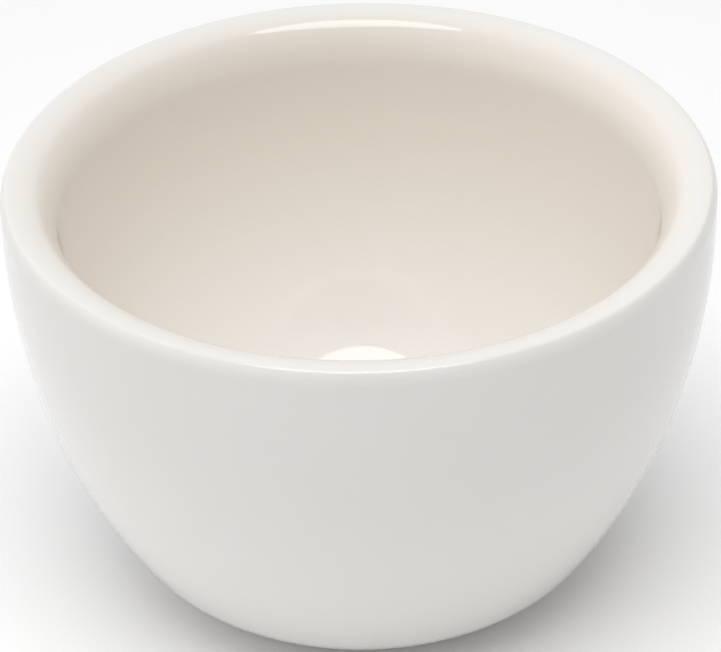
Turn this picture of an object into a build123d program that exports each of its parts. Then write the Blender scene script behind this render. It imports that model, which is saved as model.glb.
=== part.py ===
from build123d import *
from math import asin, atan2, cos, degrees, radians, sin, sqrt
import os

# A round, handleless shaving mug: one thick fired-clay bowl on a low foot ring, with a glassy
# glaze over the inside, the rim and the outside, and a second patch of glaze inside the foot ring.
# Millimetres. +Z is up and the origin is the centre of the circle that the foot ring stands on.

# Overall sizes, glaze included
rim_diameter = 102.0  # across the outside of the rim
mug_height = 63.8  # from the standing face to the top of the rim

# Rim
wall_at_rim = 6.4  # from the outside to where the inner rounding would stand upright
rim_edge_round = 0.65  # tight edge between the crown and the shoulder
rim_shoulder_radius = 2.8  # softer turn from that edge to the upright wall
rim_shoulder_turn = 50.0  # degrees from level where the edge gives way to the shoulder
rim_crown_radius = 7.9  # convex top of the rim, level outside and falling towards the bore
rim_round_inside = 3.2  # turn from the crown down into the cavity
rim_throat_turn = 48.0  # degrees from level where that turn gives way to the throat
rim_throat_radius = 9.0  # slower turn from there into the bore
bore_lean = 5.0  # degrees that the bore opens out towards the rim, below the throat
collar_outside = 4.0  # upright stretch of wall below the shoulder
collar_inside = 3.0  # straight stretch of bore below the throat

# Outside of the bowl
foot_overhang = 24.0  # how far the rim stands out beyond the foot ring
heel_radius = 11.2  # turn from the wall to the underside

# Cavity
floor_level = 8.0  # height of the floor at the middle of the mug
floor_dish_radius = 120.0  # shallow dish of the floor
cavity_heel_radius = 23.0  # soft turn from the wall to the floor
cavity_heel_inset = 33.4  # from where the inner rounding would stand upright to the centre of that turn

# Foot
foot_height = 1.6  # from the standing face to the glazed underside of the heel
foot_ring_width = 3.4
foot_edge_round = 0.5
recess_depth = 2.4  # from the standing face up to the glazed recess
recess_corner_radius = 1.0

# Glaze
glaze_thickness = 0.35
bare_heel = 2.0  # wiped clay between the foot ring and the edge of the glaze

# Worked out from the sizes above: each arc's centre and the angle where it meets its neighbour
rim_radius = rim_diameter / 2
bore_radius = rim_radius - wall_at_rim
foot_radius = rim_radius - foot_overhang
recess_radius = foot_radius - foot_ring_width
heel_centre = (foot_radius, foot_height + heel_radius)
shoulder_reach = rim_shoulder_radius - rim_edge_round
shoulder_centre = (
    rim_radius - rim_shoulder_radius,
    mug_height - rim_edge_round - shoulder_reach * cos(radians(rim_shoulder_turn)),
)
edge_centre = (
    shoulder_centre[0] + shoulder_reach * sin(radians(rim_shoulder_turn)),
    mug_height - rim_edge_round,
)
crown_centre = (edge_centre[0], mug_height - rim_crown_radius)
crown_reach = rim_crown_radius - rim_round_inside
crown_lean = asin((edge_centre[0] - bore_radius - rim_round_inside) / crown_reach)
inner_round_centre = (
    crown_centre[0] - crown_reach * sin(crown_lean),
    crown_centre[1] + crown_reach * cos(crown_lean),
)
throat_angle = 90 + rim_throat_turn
throat_widening = rim_throat_radius - rim_round_inside
throat_centre = (
    inner_round_centre[0] - throat_widening * cos(radians(throat_angle)),
    inner_round_centre[1] - throat_widening * sin(radians(throat_angle)),
)
bore_inward = (-cos(radians(bore_lean)), sin(radians(bore_lean)))  # square to the top of the bore
throat_end = (
    throat_centre[0] + rim_throat_radius * bore_inward[0],
    throat_centre[1] + rim_throat_radius * bore_inward[1],
)
wall_start = (rim_radius, shoulder_centre[1] - collar_outside)
bore_start = (
    throat_end[0] - collar_inside * bore_inward[1],
    throat_end[1] + collar_inside * bore_inward[0],
)


def tangent_arc(start, inward, turn_centre, turn_radius):
    """Arc that leaves a side and runs into a smaller turn: its centre, radius and end angle.

    It starts at the point start, with its centre in the direction inward."""
    across = start[0] - turn_centre[0]
    down = start[1] - turn_centre[1]
    facing = across * inward[0] + down * inward[1]
    radius = (turn_radius**2 - across**2 - down**2) / (2 * (facing + turn_radius))
    centre = (start[0] + radius * inward[0], start[1] + radius * inward[1])
    end_angle = degrees(atan2(turn_centre[1] - centre[1], turn_centre[0] - centre[0]))
    return centre, radius, end_angle


def cavity_turn():
    """Centre of the turn at the floor's edge, and the angle where it runs into the dished floor."""
    out = bore_radius - cavity_heel_inset
    dish_height = floor_level + floor_dish_radius
    drop = sqrt((floor_dish_radius - cavity_heel_radius) ** 2 - out**2)
    return (out, dish_height - drop), -degrees(atan2(drop, out))


wall_centre, wall_radius, wall_end = tangent_arc(wall_start, (-1, 0), heel_centre, heel_radius)
turn_centre, turn_end = cavity_turn()
bore_centre, bore_arc_radius, bore_end = tangent_arc(
    bore_start, bore_inward, turn_centre, cavity_heel_radius
)
glaze_edge = -90 + degrees(bare_heel / heel_radius)


def arc(centre, radius, start, end):
    """Arc from one angle to another, in degrees from the outward radial direction."""
    return CenterArc(centre, radius, start, end - start)


def sunk(point, skin):
    """A point on the straight part of the bore, moved a distance skin into the clay."""
    return (point[0] - skin * bore_inward[0], point[1] - skin * bore_inward[1])


def bowl_surface(skin, heel_start):
    """Line from the heel, up the outside, over the rim and down to the middle of the floor.

    It lies a distance skin inside the finished surface and starts at the angle heel_start."""
    shoulder_end = 90 - rim_shoulder_turn
    crown_end = 90 + degrees(crown_lean)
    return [
        arc(heel_centre, heel_radius - skin, heel_start, wall_end),
        arc(wall_centre, wall_radius - skin, wall_end, 0),
        Line((rim_radius - skin, wall_start[1]), (rim_radius - skin, shoulder_centre[1])),
        arc(shoulder_centre, rim_shoulder_radius - skin, 0, shoulder_end),
        arc(edge_centre, rim_edge_round - skin, shoulder_end, 90),
        arc(crown_centre, rim_crown_radius - skin, 90, crown_end),
        arc(inner_round_centre, rim_round_inside - skin, crown_end, throat_angle),
        arc(throat_centre, rim_throat_radius - skin, throat_angle, 180 - bore_lean),
        Line(sunk(throat_end, skin), sunk(bore_start, skin)),
        arc(bore_centre, bore_arc_radius + skin, -bore_lean, bore_end),
        arc(turn_centre, cavity_heel_radius + skin, bore_end, turn_end),
        arc((0, floor_level + floor_dish_radius), floor_dish_radius + skin, turn_end, -90),
    ]


def turned(edges):
    """Solid of revolution about Z, from a closed outline of radius and height."""
    return revolve(Plane.XZ * make_face(edges), axis=Axis.Z)


def clay_body():
    """Fired clay: the whole bowl under its glaze, with the bare foot ring it stands on."""
    underside = foot_height + glaze_thickness
    ceiling = recess_depth + glaze_thickness
    flat_out = foot_radius - foot_edge_round
    flat_in = recess_radius + foot_edge_round
    corner = recess_radius - recess_corner_radius
    foot = [
        Line((0, floor_level - glaze_thickness), (0, ceiling)),
        Line((0, ceiling), (corner, ceiling)),
        arc((corner, ceiling - recess_corner_radius), recess_corner_radius, 90, 0),
        Line((recess_radius, ceiling - recess_corner_radius), (recess_radius, foot_edge_round)),
        arc((flat_in, foot_edge_round), foot_edge_round, 180, 270),
        Line((flat_in, 0), (flat_out, 0)),
        arc((flat_out, foot_edge_round), foot_edge_round, -90, 0),
        Line((foot_radius, foot_edge_round), (foot_radius, underside)),
    ]
    return turned(bowl_surface(glaze_thickness, -90) + foot)


def glaze_coat():
    """Glaze over the inside, the rim and the outside, ending on the heel above the bare foot."""
    face = bowl_surface(0, glaze_edge)
    back = bowl_surface(glaze_thickness, glaze_edge)
    edge = Line(face[0] @ 0, back[0] @ 0)
    middle = Line((0, floor_level), (0, floor_level - glaze_thickness))
    return turned(face + back + [edge, middle])


def foot_recess_glaze():
    """Disc of glaze inside the foot ring, out to where the recess turns down to the ring."""
    radius = recess_radius - recess_corner_radius
    lip = glaze_thickness / 2
    outline = [
        Line((0, recess_depth), (radius - lip, recess_depth)),
        arc((radius - lip, recess_depth + lip), lip, -90, 0),
        Line((radius, recess_depth + lip), (radius, recess_depth + glaze_thickness)),
        Line((radius, recess_depth + glaze_thickness), (0, recess_depth + glaze_thickness)),
        Line((0, recess_depth + glaze_thickness), (0, recess_depth)),
    ]
    return turned(outline)


nodes = {
    "clay_body": clay_body,
    "glaze_coat": glaze_coat,
    "foot_recess_glaze": foot_recess_glaze,
}

os.makedirs("parts", exist_ok=True)
for name, make in nodes.items():
    solid = make()
    solid.label = name
    export_step(solid, f"parts/{name}.step")
    print(name, "volume", round(solid.volume / 1000, 2), "cm3")

cavity_depth = mug_height - floor_level
print("rim top falls", round(degrees(crown_lean), 1), "degrees by its inner rounding")
print("wall arc", round(wall_radius, 1), "leaning", round(-wall_end, 1), "degrees at the heel")
print("cavity arc", round(bore_arc_radius, 1), "leaning", round(-bore_end, 1), "degrees at its turn")
throat_width = round(2 * throat_end[0], 1)
print("foot ring", 2 * foot_radius, "across, cavity", throat_width, "wide and", cavity_depth, "deep")
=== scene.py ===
import math

import bpy
import numpy as np
from mathutils import Matrix, Vector


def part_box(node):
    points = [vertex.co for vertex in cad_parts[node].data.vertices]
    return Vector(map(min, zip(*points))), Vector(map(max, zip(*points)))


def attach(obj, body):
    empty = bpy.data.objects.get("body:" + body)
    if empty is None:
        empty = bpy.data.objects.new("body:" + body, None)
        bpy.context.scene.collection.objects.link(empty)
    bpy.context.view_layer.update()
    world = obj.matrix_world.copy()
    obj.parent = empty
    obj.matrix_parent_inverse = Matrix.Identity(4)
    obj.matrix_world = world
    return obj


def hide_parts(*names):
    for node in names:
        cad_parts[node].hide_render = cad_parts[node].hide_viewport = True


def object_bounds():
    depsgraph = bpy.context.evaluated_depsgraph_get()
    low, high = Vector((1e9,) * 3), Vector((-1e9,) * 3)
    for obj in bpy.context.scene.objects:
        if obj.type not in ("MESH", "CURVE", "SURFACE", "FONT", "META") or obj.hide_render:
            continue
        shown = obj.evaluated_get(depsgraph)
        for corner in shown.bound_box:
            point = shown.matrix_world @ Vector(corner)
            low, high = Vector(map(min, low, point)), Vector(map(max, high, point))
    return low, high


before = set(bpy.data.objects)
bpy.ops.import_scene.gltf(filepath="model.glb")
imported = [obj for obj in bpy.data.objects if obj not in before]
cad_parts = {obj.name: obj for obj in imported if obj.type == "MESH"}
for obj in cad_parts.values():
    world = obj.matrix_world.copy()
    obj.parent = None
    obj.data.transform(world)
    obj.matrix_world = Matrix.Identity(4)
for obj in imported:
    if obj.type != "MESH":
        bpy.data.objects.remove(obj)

mm = 0.001
cadLow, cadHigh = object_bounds()
glazeLow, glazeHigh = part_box("glaze_coat")
recessLow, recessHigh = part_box("foot_recess_glaze")
print("frame loaded, CAD box", [round(v, 4) for v in cadHigh - cadLow])

# the mug's section, in millimetres; the rim's radius and height come from the frame
mugShape = {
    "rimRadius": glazeHigh.x / mm,
    "height": glazeHigh.z / mm,
    "wallAtRim": 6.4,
    "rimEdge": 0.65,
    "rimShoulder": 2.8,
    "rimShoulderTurn": 50.0,
    "rimRoundInside": 3.2,
    "rimThroat": 9.0,
    "throatTurn": 48.0,
    "boreLean": 5.0,
    "rimCrown": 7.9,
    "collarOutside": 4.0,
    "collarInside": 3.0,
    "footOverhang": 24.0,
    "heelRadius": 11.2,
    "floorLevel": 8.0,
    "floorDish": 120.0,
    "cavityHeel": 23.0,
    "cavityHeelInset": 33.4,
    "footHeight": 1.6,
    "footRingWidth": 3.4,
    "footEdge": 0.5,
    "recessDepth": recessLow.z / mm,
    "recessCorner": 1.0,
    "glaze": 0.35,
    "bareHeel": 2.0,
}


def arcPoints(centre, radius, start, end, step=3.0):
    # points along an arc, angles in degrees from the outward direction
    count = max(2, int(abs(end - start) / step) + 1)
    angles = np.radians(np.linspace(start, end, count))
    return np.stack([centre[0] + radius * np.cos(angles), centre[1] + radius * np.sin(angles)], 1)


def tangentArc(start, lean, turn, turnRadius):
    # an arc that leaves a side leaning this far from upright and runs into a smaller turn
    inward = (-math.cos(math.radians(lean)), math.sin(math.radians(lean)))
    across, down = start[0] - turn[0], start[1] - turn[1]
    facing = across * inward[0] + down * inward[1]
    radius = (turnRadius**2 - across**2 - down**2) / (2 * (facing + turnRadius))
    centre = (start[0] + radius * inward[0], start[1] + radius * inward[1])
    return centre, radius, math.degrees(math.atan2(turn[1] - centre[1], turn[0] - centre[0]))


def mugSection(s):
    # centres and angles of the arcs that make up the finished surface
    rim, top = s["rimRadius"], s["height"]
    bore = rim - s["wallAtRim"]
    turnAt = math.radians(s["rimShoulderTurn"])
    soft = s["rimShoulder"] - s["rimEdge"]
    shoulder = (rim - s["rimShoulder"], top - s["rimEdge"] - soft * math.cos(turnAt))
    edge = (shoulder[0] + soft * math.sin(turnAt), top - s["rimEdge"])
    apex = (edge[0], top - s["rimCrown"])
    reach = s["rimCrown"] - s["rimRoundInside"]
    swing = math.radians(90 + s["throatTurn"])
    lean = math.asin((edge[0] - bore - s["rimRoundInside"]) / reach)
    inner = (apex[0] - reach * math.sin(lean), apex[1] + reach * math.cos(lean))
    widening = s["rimRoundInside"] - s["rimThroat"]
    throat = (inner[0] + widening * math.cos(swing), inner[1] + widening * math.sin(swing))
    slope = math.radians(s["boreLean"])
    boreStart = (throat[0] - s["rimThroat"] * math.cos(slope) - s["collarInside"] * math.sin(slope),
                 throat[1] + s["rimThroat"] * math.sin(slope) - s["collarInside"] * math.cos(slope))
    heel = (rim - s["footOverhang"], s["footHeight"] + s["heelRadius"])
    out = bore - s["cavityHeelInset"]
    drop = math.sqrt((s["floorDish"] - s["cavityHeel"]) ** 2 - out**2)
    turn = (out, s["floorLevel"] + s["floorDish"] - drop)
    wallStart = (rim, shoulder[1] - s["collarOutside"])
    return {
        "bore": bore, "shoulder": shoulder, "edge": edge, "apex": apex, "lean": math.degrees(lean),
        "inner": inner, "throat": throat, "heel": heel, "turn": turn,
        "turnEnd": -math.degrees(math.atan2(drop, out)),
        "wall": tangentArc(wallStart, 0, heel, s["heelRadius"]),
        "boreArc": tangentArc(boreStart, s["boreLean"], turn, s["cavityHeel"]),
    }


def surfacePoints(s, skin, heelStart, coarse=1.0):
    # from the heel up the outside, over the rim and down to the middle of the floor
    m = mugSection(s)
    shoulderEnd = 90 - s["rimShoulderTurn"]
    wallCentre, wallRadius, wallEnd = m["wall"]
    boreCentre, boreRadius, boreEnd = m["boreArc"]
    runs = [
        arcPoints(m["heel"], s["heelRadius"] - skin, heelStart, wallEnd, 2.5 * coarse),
        arcPoints(wallCentre, wallRadius - skin, wallEnd, 0, 0.55 * coarse),
        arcPoints(m["shoulder"], s["rimShoulder"] - skin, 0, shoulderEnd, 3 * coarse),
        arcPoints(m["edge"], s["rimEdge"] - skin, shoulderEnd, 90, 5 * coarse),
        arcPoints(m["apex"], s["rimCrown"] - skin, 90, 90 + m["lean"], 1.2 * coarse),
        arcPoints(m["inner"], s["rimRoundInside"] - skin, 90 + m["lean"], 90 + s["throatTurn"], 3 * coarse),
        arcPoints(m["throat"], s["rimThroat"] - skin, 90 + s["throatTurn"], 180 - s["boreLean"], 2 * coarse),
        arcPoints(boreCentre, boreRadius + skin, -s["boreLean"], boreEnd, 0.55 * coarse),
        arcPoints(m["turn"], s["cavityHeel"] + skin, boreEnd, m["turnEnd"], 1.8 * coarse),
        arcPoints((0, s["floorLevel"] + s["floorDish"]), s["floorDish"] + skin, m["turnEnd"], -90, 0.5 * coarse),
    ]
    points = np.vstack(runs)
    keep = np.append(True, np.linalg.norm(np.diff(points, axis=0), axis=1) > 1e-4)
    return points[keep]


# hand-finished ware is never quite true: how far the rim wanders, in millimetres, as lobes round the mug
unevenness = {
    "outward": ((2, 0.09, 0.6), (3, 0.05, 2.1), (5, 0.02, 4.0)),
    "upward": ((2, 0.07, 5.3), (3, 0.05, 0.3), (5, 0.03, 1.7)),
}


def settle(verts):
    # moves points a little, nothing at the foot and most at the rim, the same for clay and glaze
    turn = np.arctan2(verts[:, 1], verts[:, 0])
    share = (np.clip(verts[:, 2] / (mugShape["height"] * mm), 0, 1)) ** 1.5 * mm
    out = sum(size * np.cos(lobes * turn + phase) for lobes, size, phase in unevenness["outward"]) * share
    lift = sum(size * np.cos(lobes * turn + phase) for lobes, size, phase in unevenness["upward"]) * share
    reach = np.hypot(verts[:, 0], verts[:, 1]) / (mugShape["rimRadius"] * mm)
    moved = verts.copy()
    moved[:, 0] += out * reach * np.cos(turn)
    moved[:, 1] += out * reach * np.sin(turn)
    moved[:, 2] += lift * reach
    return moved


def turnedMesh(name, outline, inside=None, around=360):
    # a closed solid of revolution from an outline that starts and ends on the axis
    verts, rows = [], []
    for r, z in outline * mm:
        if r < 1e-7:
            rows.append([len(verts)])
            verts.append((0, 0, z))
            continue
        rows.append(list(range(len(verts), len(verts) + around)))
        for k in range(around):
            turn = 2 * math.pi * k / around
            verts.append((r * math.cos(turn), r * math.sin(turn), z))
    faces = []
    for a, b in zip(rows, rows[1:]):
        for k in range(around):
            n = (k + 1) % around
            if len(a) == 1:
                faces.append((a[0], b[k], b[n]))
            elif len(b) == 1:
                faces.append((a[k], b[0], a[n]))
            else:
                faces.append((a[k], b[k], b[n], a[n]))
    mesh = bpy.data.meshes.new(name)
    mesh.from_pydata(settle(np.array(verts)).tolist(), [], faces)
    mesh.validate()
    mesh.shade_smooth()
    # an optional point attribute says where painted light goes in the cavity: warm bounced light on its upper wall,
    # lighter overhead light on its floor
    if inside is not None:
        depth = np.repeat(inside, [len(row) for row in rows])
        mesh.attributes.new("inside", "FLOAT", "POINT").data.foreach_set("value", depth.astype(np.float32))
    piece = bpy.data.objects.new(name, mesh)
    bpy.context.scene.collection.objects.link(piece)
    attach(piece, "root")
    return piece


def paintedCavityLightShare(points):
    # 0 outside, 1 on the upper wall of the cavity, where warm bounced light is painted into the glaze, and -1 on its
    # floor, where the overhead light is painted in as a lighter colour
    s = mugShape
    top = int(np.argmax(points[:, 1]))
    past = np.clip((s["rimRadius"] - 2.8 - points[:, 0]) / (s["wallAtRim"] - 2.8), 0, 1)
    past[:top] = 0
    return past * np.clip((points[:, 1] - s["floorLevel"] - 15) / 22, -1, 1)


def glazeOutline():
    s = mugShape
    edge = -90 + math.degrees(s["bareHeel"] / s["heelRadius"])
    face = surfacePoints(s, 0, edge)
    back = surfacePoints(s, s["glaze"], edge, 2)
    # the glaze draws up into a round bead where it was wiped
    middle = (face[0] + back[0]) / 2
    along = (face[0] - face[1]) / np.linalg.norm(face[0] - face[1])
    half = (face[0] - back[0]) / 2
    bead = [middle + half * math.cos(t) + along * s["glaze"] / 2 * math.sin(t)
            for t in np.radians((30, 60, 90, 120, 150))]
    outline = np.vstack([face[::-1], bead, back])
    outline[0][0] = outline[-1][0] = 0
    # painted light in the cavity, row by row: warm bounced light on its upper wall, lighter overhead light on its
    # floor
    share = np.concatenate([paintedCavityLightShare(face)[::-1], np.zeros(len(bead)), paintedCavityLightShare(back)])
    return outline, share


def clayOutline():
    s = mugShape
    skin, ceiling = s["glaze"], s["recessDepth"] + s["glaze"]
    ringOut = s["rimRadius"] - s["footOverhang"]
    ringIn = ringOut - s["footRingWidth"]
    corner, edge = s["recessCorner"], s["footEdge"]
    face = surfacePoints(s, skin, -90)
    foot = np.vstack([
        arcPoints((ringOut - edge, edge), edge, 0, -90, 10),
        arcPoints((ringIn + edge, edge), edge, 270, 180, 10),
        arcPoints((ringIn - corner, ceiling - corner), corner, 0, 90, 10),
        [(ringIn / 2, ceiling), (0, ceiling)],
    ])
    outline = np.vstack([face[::-1], foot])
    outline[0][0] = 0
    return outline


def recessOutline():
    s = mugShape
    radius = s["rimRadius"] - s["footOverhang"] - s["footRingWidth"] - s["recessCorner"]
    low, lip = s["recessDepth"], s["glaze"] / 2
    return np.vstack([
        [(0, low + 2 * lip), (radius / 2, low + 2 * lip), (radius, low + 2 * lip)],
        arcPoints((radius - lip, low + lip), lip, 0, -90, 15),
        [(radius * k, low) for k in (0.9, 0.6, 0.3, 0)],
    ])


outline, inside = glazeOutline()
glazeSkin = turnedMesh("glaze_skin", outline, inside)
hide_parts("glaze_coat")
clayBowl = turnedMesh("clay_bowl", clayOutline())
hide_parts("clay_body")
recessGlaze = turnedMesh("recess_glaze", recessOutline())
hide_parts("foot_recess_glaze")
print("mug turned:", len(glazeSkin.data.vertices) + len(clayBowl.data.vertices), "points")


class Wire:
    # a node's output socket, so that shader maths can be written as Python
    def __init__(self, tree, socket=None):
        self.tree = tree
        self.socket = socket

    def node(self, kind, settings=None, inputs=None, output=0):
        made = self.tree.nodes.new(kind)
        for key, value in (settings or {}).items():
            if key == "stops":
                ramp = made.color_ramp
                while len(ramp.elements) < len(value):
                    ramp.elements.new(0.5)
                for stop, (place, colour) in zip(ramp.elements, value):
                    stop.position = place
                    stop.color = (*colour, 1)
            else:
                setattr(made, key, value)
        for key, value in (inputs or {}).items():
            if isinstance(value, Wire):
                self.tree.links.new(value.socket, made.inputs[key])
            else:
                made.inputs[key].default_value = value
        return Wire(self.tree, made.outputs[output])

    def sum(self, operation, a, b):
        return self.node("ShaderNodeMath", {"operation": operation}, {0: a, 1: b})

    def __add__(self, other):
        return self.sum("ADD", self, other)

    def __sub__(self, other):
        return self.sum("SUBTRACT", self, other)

    def __rsub__(self, other):
        return self.sum("SUBTRACT", other, self)

    def __mul__(self, other):
        return self.sum("MULTIPLY", self, other)

    __radd__ = __add__
    __rmul__ = __mul__

    def above(self, level):
        return self.sum("GREATER_THAN", self, level)

    def spread(self, low, high):
        # 0 at low and 1 at high, held between them
        return self.node("ShaderNodeMapRange", {"clamp": True}, {"Value": self, "From Min": low, "From Max": high})


def colourMix(wire, factor, a, b):
    # Mix in colour mode: factor, A and B are its sockets 0, 6 and 7, and its result is output 2
    return wire.node("ShaderNodeMix", {"data_type": "RGBA"}, {0: factor, 6: a, 7: b}, 2)


def newFinish(name):
    # an empty material with its output, ready for a shader
    material = bpy.data.materials.new(name)
    material.use_nodes = True
    tree = material.node_tree
    tree.nodes.clear()
    return material, Wire(tree)


def finishOff(wire, shader):
    out = wire.tree.nodes.new("ShaderNodeOutputMaterial")
    wire.tree.links.new(shader.socket, out.inputs["Surface"])


# glaze: linear colours outside, with painted warm bounced light on the upper cavity wall and painted overhead light
# on its floor, and where it pooled a little
ivory = {
    "outside": (0.885, 0.856, 0.818, 1),
    # painted warm bounced light on the upper cavity wall
    "inside": (0.880, 0.812, 0.730, 1),
    # painted overhead light on the cavity floor, lighter and cooler than the outside
    "paintedFloorLight": (0.905, 0.878, 0.858, 1),
    "pooled": (0.845, 0.790, 0.720, 1),
    "roughness": 0.045,
    "ringsEvery": 0.9,  # millimetres between the potter's faint rings
}


def ivoryGlaze():
    material, wire = newFinish("ivoryGlaze")
    place = wire.node("ShaderNodeTexCoord", output=3)
    # share of painted light in the cavity: warm bounced light on the upper wall, overhead light on the floor
    inside = wire.node("ShaderNodeAttribute", {"attribute_name": "inside"}, output=2)
    # thickness of the glaze: soft clouds, and thin level rings left by turning
    cloud = wire.node("ShaderNodeTexNoise", {}, {"Vector": place, "Scale": 42, "Detail": 3, "Roughness": 0.55})
    squash = wire.node("ShaderNodeMapping", {}, {0: place, "Scale": (12, 12, 1000 / ivory["ringsEvery"])})
    rings = wire.node("ShaderNodeTexNoise", {}, {"Vector": squash, "Scale": 1, "Detail": 2, "Roughness": 0.5})
    pooled = cloud.spread(0.35, 0.75) * 0.16 + rings.spread(0.3, 0.7) * (0.04 + 0.10 * inside.spread(0, 1))
    # painted warm bounced light: the upper cavity wall turns warmer
    paintedBounceWarmth = colourMix(wire, inside.spread(0, 1), ivory["outside"], ivory["inside"])
    # painted overhead light: the cavity floor turns lighter and cooler
    depth = colourMix(wire, inside.spread(0, -1), paintedBounceWarmth, ivory["paintedFloorLight"])
    tint = colourMix(wire, pooled, depth, ivory["pooled"])
    # pinholes: the middles of a few of the cells
    cells = wire.node("ShaderNodeTexVoronoi", {}, {"Vector": place, "Scale": 190, "Randomness": 1.0})
    chosen = wire.node("ShaderNodeTexWhiteNoise", {}, {"Vector": wire.node(
        "ShaderNodeTexVoronoi", {}, {"Vector": place, "Scale": 190, "Randomness": 1.0}, 2)})
    pinhole = (1 - cells.spread(0.010, 0.035)) * chosen.above(0.975)
    peel = wire.node("ShaderNodeTexNoise", {}, {"Vector": place, "Scale": 210, "Detail": 1, "Roughness": 0.4})
    relief = peel * 0.010 + rings * 0.012 + cloud * 0.06 - pinhole * 0.12
    bump = wire.node("ShaderNodeBump", {}, {"Height": relief, "Strength": 0.35, "Distance": 0.001})
    shader = wire.node("ShaderNodeBsdfPrincipled", {}, {
        "Base Color": colourMix(wire, pinhole * 0.6, tint, ivory["pooled"]),
        "Roughness": ivory["roughness"] + 0.03 * cloud + 0.3 * pinhole,
        "IOR": 1.5, "Normal": bump,
        "Subsurface Weight": 0.12, "Subsurface Radius": (1.0, 0.8, 0.6), "Subsurface Scale": 0.0012,
    })
    finishOff(wire, shader)
    return material


# the clay that shows on the foot: buff, with fine grog and a few darker specks
clay = {
    "light": (0.78, 0.71, 0.61, 1),
    "dark": (0.64, 0.56, 0.46, 1),
    "speck": (0.34, 0.26, 0.19, 1),
}


def bareClay():
    material, wire = newFinish("bareClay")
    place = wire.node("ShaderNodeTexCoord", output=3)
    grain = wire.node("ShaderNodeTexNoise", {}, {"Vector": place, "Scale": 2200, "Detail": 4, "Roughness": 0.7})
    worn = wire.node("ShaderNodeTexNoise", {}, {"Vector": place, "Scale": 130, "Detail": 3, "Roughness": 0.6})
    specks = wire.node("ShaderNodeTexVoronoi", {}, {"Vector": place, "Scale": 520, "Randomness": 1.0})
    speck = 1 - specks.spread(0.12, 0.20)
    fewer = worn.spread(0.52, 0.60)
    tint = colourMix(wire, grain.spread(0.35, 0.65) * 0.6 + worn.spread(0.4, 0.65) * 0.4, clay["dark"], clay["light"])
    relief = grain * 0.05 + worn * 0.05 - speck * fewer * 0.03
    bump = wire.node("ShaderNodeBump", {}, {"Height": relief, "Strength": 0.6, "Distance": 0.001})
    shader = wire.node("ShaderNodeBsdfPrincipled", {}, {
        "Base Color": colourMix(wire, speck * fewer * 0.7, tint, clay["speck"]),
        "Roughness": 0.82 + 0.12 * grain, "IOR": 1.5, "Normal": bump,
    })
    finishOff(wire, shader)
    return material


glaze, fired = ivoryGlaze(), bareClay()
for piece, finish in ((glazeSkin, glaze), (recessGlaze, glaze), (clayBowl, fired)):
    piece.data.materials.append(finish)
print("finishes made")


studio = {
    "roomColour": (0.985, 1.0, 1.02, 1),
    "ambient": 0.07,
    "fromLeft": 0.76,
    "fromRight": 0.29,
    "fromBehind": 0.43,
    "fromAbove": 0.21,
    "floorColour": (0.968, 0.968, 0.972, 1),
    "floorGlow": 0.03,
    "floorSize": 6.0,
}


def studioFloor():
    half = studio["floorSize"] / 2
    mesh = bpy.data.meshes.new("floor")
    mesh.from_pydata([(-half, -half, 0), (half, -half, 0), (half, half, 0), (-half, half, 0)], [], [(0, 1, 2, 3)])
    floor = bpy.data.objects.new("floor", mesh)
    bpy.context.scene.collection.objects.link(floor)
    material, wire = newFinish("paleFloor")
    shader = wire.node("ShaderNodeBsdfPrincipled", {}, {
        "Base Color": studio["floorColour"], "Roughness": 0.9, "Specular IOR Level": 0.2,
        "Emission Color": studio["floorColour"], "Emission Strength": studio["floorGlow"]})
    finishOff(wire, shader)
    mesh.materials.append(material)
    floor.location.z = cadLow.z


# the round softbox overhead: how far it leans from overhead towards the front, in degrees, how far away it
# is and how wide, in metres, and its radiance
overhead = {
    "lean": 12.6,
    "away": 0.95,
    "width": 0.74,
    "depth": 0.70,
    "glow": 4.45,
    "colour": (1.0, 0.99, 0.97),
}


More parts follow.
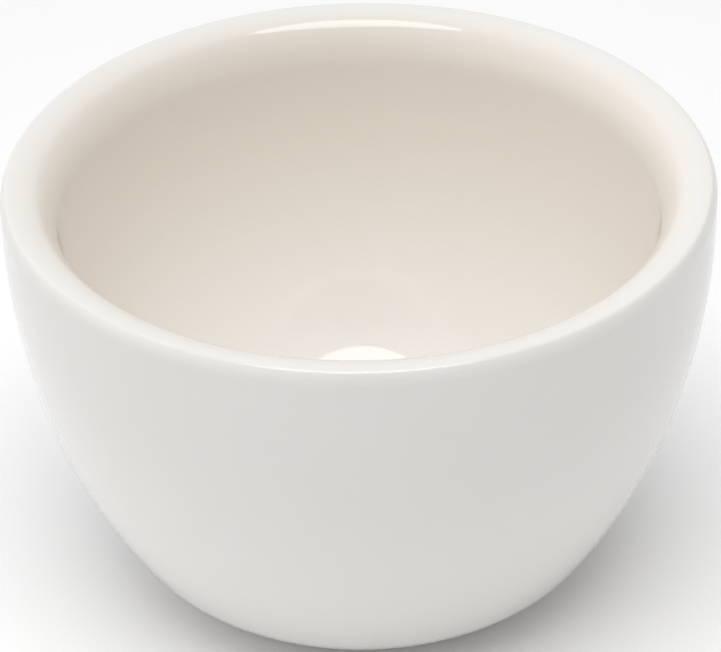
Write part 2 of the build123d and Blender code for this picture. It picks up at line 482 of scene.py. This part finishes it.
def hangSoftbox():
    lean = math.radians(overhead["lean"])
    away = Vector((0, -math.sin(lean), math.cos(lean)))
    light = bpy.data.lights.new("overheadSoftbox", "AREA")
    light.shape = "ELLIPSE"
    light.size, light.size_y = overhead["width"], overhead["depth"]
    light.energy = overhead["glow"] * math.pi * light.size * light.size_y * math.pi / 4
    light.color = overhead["colour"]
    lamp = bpy.data.objects.new("overheadSoftbox", light)
    lamp.location = Vector((0, 0, 0.06)) + overhead["away"] * away
    lamp.rotation_euler = (-away).to_track_quat("-Z", "Y").to_euler()
    bpy.context.scene.collection.objects.link(lamp)


def studioRoom():
    # soft light from all round, stronger from the left and from behind
    world = bpy.data.worlds.new("room")
    world.use_nodes = True
    wire = Wire(world.node_tree)
    world.node_tree.nodes.clear()
    ways = wire.node("ShaderNodeSeparateXYZ", {}, {0: wire.node("ShaderNodeTexCoord")})
    x, y, z = (Wire(wire.tree, ways.socket.node.outputs[k]) for k in range(3))
    strength = (studio["ambient"] + studio["fromLeft"] * (-1 * x).spread(0, 1) + studio["fromRight"] * x.spread(0, 1)
                + studio["fromBehind"] * y.spread(0, 1) + studio["fromAbove"] * z.spread(0, 1))
    back = wire.node("ShaderNodeBackground", {}, {"Color": studio["roomColour"], "Strength": strength})
    out = world.node_tree.nodes.new("ShaderNodeOutputWorld")
    world.node_tree.links.new(back.socket, out.inputs["Surface"])
    bpy.context.scene.world = world


studioFloor()
studioRoom()
hangSoftbox()
print("studio made")

cameraView = {
    "elevation": 34.42,
    "distance": 0.51,
    "aim": (-0.00016, 0.0, 0.03733),
    "roll": -1.2,
    "focalLength": 172.6,
}


def placeCamera():
    centre = Vector((0, 0, (cadLow.z + cadHigh.z) / 2))
    rise = math.radians(cameraView["elevation"])
    place = centre + cameraView["distance"] * Vector((0, -math.cos(rise), math.sin(rise)))
    data = bpy.data.cameras.new("camera")
    data.sensor_width = 36
    data.lens = cameraView["focalLength"]
    data.clip_start, data.clip_end = 0.01, 20
    camera = bpy.data.objects.new("camera", data)
    look = (Vector(cameraView["aim"]) - place).to_track_quat("-Z", "Y").to_matrix()
    camera.matrix_world = Matrix.Translation(place) @ (
        look @ Matrix.Rotation(math.radians(cameraView["roll"]), 3, "Z")).to_4x4()
    bpy.context.scene.collection.objects.link(camera)
    bpy.context.scene.camera = camera


placeCamera()
bpy.context.scene.view_settings.view_transform = "Standard"
print("camera placed")
